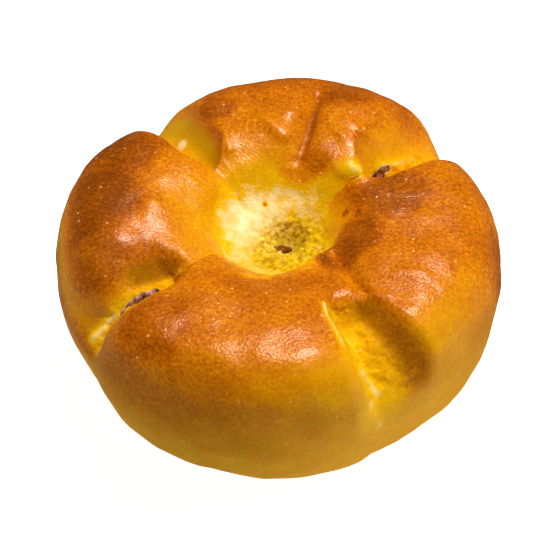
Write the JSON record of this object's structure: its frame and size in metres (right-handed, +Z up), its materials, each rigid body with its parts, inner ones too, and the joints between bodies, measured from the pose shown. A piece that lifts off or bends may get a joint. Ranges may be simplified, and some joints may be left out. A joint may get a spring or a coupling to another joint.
{
  "type": "flower-shaped bean bun",
  "caption": "Round baked bun with a glossy golden crust, cut from above into petals by radial slits round a pressed pit, and filled with bean paste that shows in the slits.",
  "frame": {"origin": "centre of the flat base, on the surface that the bun stands on", "axes": "+Z up out of the pit, +X to the right of the picture's view, -Y towards the viewer"},
  "size_m": [0.1033, 0.1066, 0.0473],
  "materials": {
    "crust": "egg-washed baked bread crust, orange-brown and glossy on the petals, pale and matte in the pit and the slits",
    "bean_paste": "moist dark red-brown bean paste"
  },
  "bodies": {
    "root": {"dough": "crust", "bean_filling": "bean_paste"}
  },
  "joints": []
}
